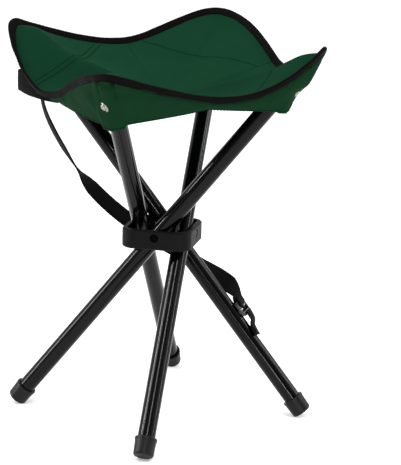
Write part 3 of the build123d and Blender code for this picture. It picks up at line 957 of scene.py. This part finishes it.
def rounded_bar(name, start, end, thick, side):
    """A bar of the slide with a rounded section and rounded ends; side is the direction of its width."""
    run = unit(end - start)
    side = unit(side - run * (side @ run))
    third = np.cross(run, side)
    length = np.linalg.norm(end - start)
    rows, uvs = [], []
    for share, scale in BAR_ENDS:
        ring, uv = [], []
        for i in range(BAR_SIDES):
            angle = 2 * math.pi * i / BAR_SIDES
            c, s = rounded(math.cos(angle), 0.6), rounded(math.sin(angle), 0.6)
            ring.append(start + run * length * share
                        + (side * c * BAR_WIDE / 2 + third * s * thick / 2) * MM * scale)
            uv.append((share * length, i / BAR_SIDES * 2 * (BAR_WIDE + thick) * MM))
        uv.append((share * length, 2 * (BAR_WIDE + thick) * MM))
        rows.append(ring)
        uvs.append(uv)
    made = grid_piece(name, rows, uvs, SLIDER_PLASTIC, closed=True)
    close_ends(made, BAR_SIDES)
    return made


HALF_WIDE, HALF_LONG, BAR_STEP, BAR_THICK, SIDE_THICK = 11.5, 7.5, 6.2, 2.8, 3.2
slide_bars = [rounded_bar(f"slide_bar_{n}", on_slide(down, -HALF_WIDE, 0), on_slide(down, HALF_WIDE, 0),
                          BAR_THICK, back_axis) for n, down in enumerate((-BAR_STEP, 0.0, BAR_STEP))]
slide_bars += [rounded_bar(f"slide_side_{n}", on_slide(-HALF_LONG, across, 0), on_slide(HALF_LONG, across, 0),
                           SIDE_THICK, back_inward) for n, across in enumerate((-HALF_WIDE, HALF_WIDE))]
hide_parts("strap_slider")
for bar in slide_bars:
    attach(bar, "back_leg")

# The webbing goes round the slide's middle bar and back under itself; a short loop ties the slide to the leg.
turn_route = [on_slide(-9.5, 0, 2.6), on_slide(-5.5, 0, 2.8), on_slide(-2.2, 0, 2.4), on_slide(-1.2, 0, 0.4),
              on_slide(-2.4, 0, -2.2), on_slide(-8.0, 0, -1.6), on_slide(-13.0, 0, 0.8)]
strap_turn = ribbon("strap_turn", spline_points(turn_route), back_inward, 18 * MM, 1.4 * MM, WEBBING)
loop_route = [on_slide(3.4, 0, -2.6), on_slide(6.0, 0, -3.0), on_slide(8.2, 0, -1.2), on_slide(8.0, 0, 1.9),
              on_slide(6.0, 0, 2.9), on_slide(8.5, 0, 2.6), on_leg("back", -120, -12.5, -7.0),
              on_leg("back", -124, -9.9, -4.0), on_leg("back", -130, -9.1, -1.0), on_leg("back", -134, -9.1, 0.0)]
loop = ribbon("anchor_webbing", spline_points(loop_route), back_inward, 14 * MM, WEBBING_THICK, WEBBING)
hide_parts("strap_anchor")
anchor_rivet = revolved_piece("anchor_rivet", ANCHOR_RIVET, on_leg("back", -129, -9.9, 0.0), -back_outer,
                              DARK_STEEL)
for piece, slot in ((strap_turn, "black_webbing"), (loop, "black_webbing"), (anchor_rivet, "nickel")):
    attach(piece, "back_leg")

# ---- materials on the CAD nodes that stay ----
# By the node's whole name, or by what follows the leg's name in it.
FINISH = {"tube": TUBE_PAINT, "plug": CAP_RUBBER, "cap": CAP_RUBBER, "hub_ring": HUB_PLASTIC,
          "pivot_rivets": PIVOT_STEEL, "pivot_washers": HUB_PLASTIC}
for name, cad_node in frame["nodes"].items():
    finish = FINISH.get(name) or FINISH.get(name.split("_", 1)[-1])
    if finish is None:
        continue
    for place in cad_node.material_slots:
        place.material = finish
    if not cad_node.material_slots:
        cad_node.data.materials.append(finish)

# ---- floor and light: the floor glows a little, so that it comes out as white as the photograph's ----
FLOOR_HALF, FLOOR_GLOW = 6, 0.28
floor_mesh = bpy.data.meshes.new("floor")
floor_mesh.from_pydata([(x * FLOOR_HALF, y * FLOOR_HALF, 0) for x, y in ((-1, -1), (1, -1), (1, 1), (-1, 1))],
                       [], [(0, 1, 2, 3)])
floor = add_object("floor", floor_mesh)
floor_material, _, _ = new_material("floor", (0.95, 0.95, 0.95), 0.9, Emission_Color=(1, 1, 1, 1),
                                    Emission_Strength=FLOOR_GLOW)
floor_mesh.materials.append(floor_material)

# The world is dimmer in front of the stool, which keeps the black tubes black between the strip lights.
DIM_SIDE = (0.2, -0.96, 0.15)
SKY_BRIGHT, SKY_DIM = 1.08, 0.25
world = bpy.data.worlds.new("world")
scene.world = world
world.use_nodes = True
sky = world.node_tree
toward = node(sky, "ShaderNodeTexCoord").outputs["Generated"]
facing = node(sky, "ShaderNodeVectorMath", {0: toward, 1: DIM_SIDE}, operation="DOT_PRODUCT").outputs["Value"]
dim = node(sky, "ShaderNodeMapRange",
           {"Value": facing, "From Min": 0.1, "From Max": 0.8, "To Min": SKY_BRIGHT, "To Max": SKY_DIM},
           interpolation_type="SMOOTHSTEP").outputs[0]
sky.nodes["Background"].inputs["Color"].default_value = (1, 1, 1, 1)
sky.links.new(dim, sky.nodes["Background"].inputs["Strength"])


def area_light(name, at, aim, size, power, on_cloth=True):
    """A strip light aimed at a height on the hub's axis; with on_cloth off it shows only in reflections."""
    data = bpy.data.lights.new(name, "AREA")
    data.shape = "RECTANGLE"
    data.size, data.size_y = size
    data.energy = power
    lamp = add_object(name, data)
    lamp.location = at
    lamp.rotation_euler = (Vector((0, 0, aim)) - Vector(at)).to_track_quat("-Z", "Y").to_euler()
    lamp.visible_diffuse = on_cloth


area_light("left strip", (-1.85, -0.5, 0.85), 0.2, (0.13, 1.5), 34, on_cloth=False)
area_light("front strip", (0.85, -1.85, 0.55), 0.15, (0.07, 1.2), 18, on_cloth=False)
area_light("rear strip", (1.5, 0.85, 1.15), 0.2, (0.1, 1.2), 9)
area_light("right strip", (1.85, 0.35, 0.95), 0.2, (0.08, 1.2), 8)
area_light("upper strip", (0.42, -0.95, 2.0), 0.15, (0.1, 1.2), 20)
area_light("upper left strip", (-1.2, -0.65, 1.75), 0.15, (0.1, 1.2), 16)

scene.view_settings.view_transform = "Standard"
scene.view_settings.look = "None"
